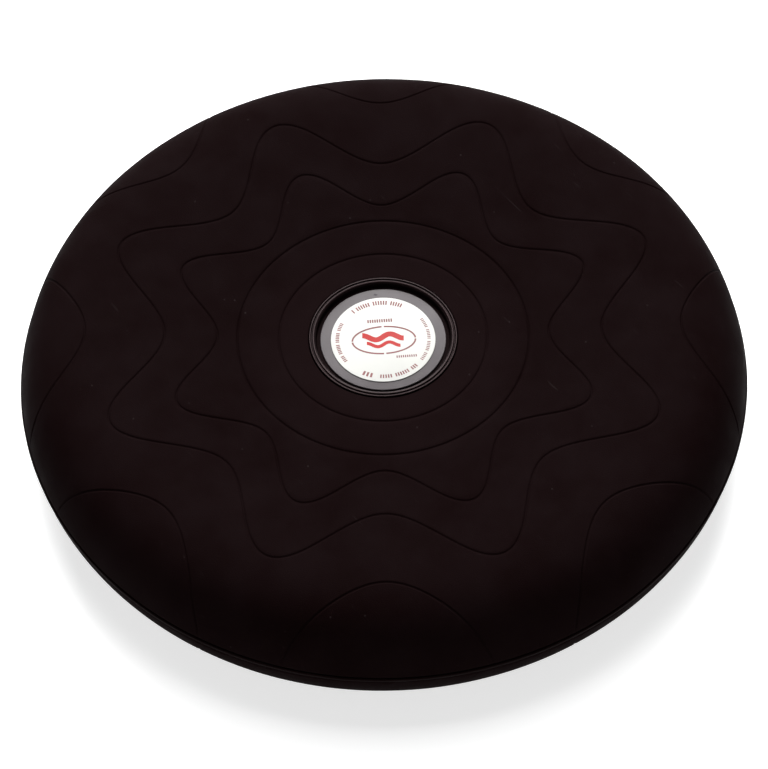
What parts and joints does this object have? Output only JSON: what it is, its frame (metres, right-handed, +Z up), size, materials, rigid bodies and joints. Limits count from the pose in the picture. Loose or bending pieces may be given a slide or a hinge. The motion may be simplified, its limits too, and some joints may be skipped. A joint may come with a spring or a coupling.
{
  "type": "wobble cushion",
  "caption": "Round inflatable balance cushion: two welded black half shells, dished faces, a label in the upper pole and a plugged needle valve in the lower one.",
  "frame": {"origin": "on the floor, under the centre of the cushion", "axes": "+Z up, from the valve side to the label side; the picture was taken from the -Y side, and the valve plug pulls out along -Z"},
  "size_m": [0.33, 0.33, 0.0587],
  "materials": {
    "black_pvc": "near-black soft PVC with a fine moulded grain, matt with a weak sheen",
    "weld_pvc": "near-black soft PVC, smooth weld bead",
    "grey_vinyl": "mid-grey vinyl, satin",
    "white_vinyl": "white vinyl label, satin, with red and grey print",
    "valve_pvc": "black moulded PVC, satin",
    "bung_rubber": "dark soft rubber, matt",
    "plug_pvc": "dark grey moulded PVC, satin"
  },
  "bodies": {
    "base": {"lower_shell": "black_pvc", "valve_dish": "black_pvc", "valve_housing": "valve_pvc", "valve_bung": "bung_rubber"},
    "rim": {"rim_weld": "weld_pvc"},
    "top": {"upper_shell": "black_pvc", "top_dish": "black_pvc", "label_backing": "grey_vinyl", "label_face": "white_vinyl"},
    "plug": {"valve_plug": "plug_pvc"}
  },
  "joints": [
    {"name": "tilt_fore_aft", "type": "hinge", "parent": "base", "child": "rim", "pos_m": [0, 0, 0.0305], "axis": [1, 0, 0], "range_deg": [-7, 7], "stiffness_Nm_per_rad": 60, "deforming": ["lower_shell"]},
    {"name": "tilt_side", "type": "hinge", "parent": "rim", "child": "top", "pos_m": [0, 0, 0.0305], "axis": [0, 1, 0], "range_deg": [-7, 7], "stiffness_Nm_per_rad": 60, "deforming": ["upper_shell"]},
    {"name": "plug_pull", "type": "slide", "parent": "base", "child": "plug", "axis": [0, 0, -1], "range_m": [0, 0.0092]}
  ]
}
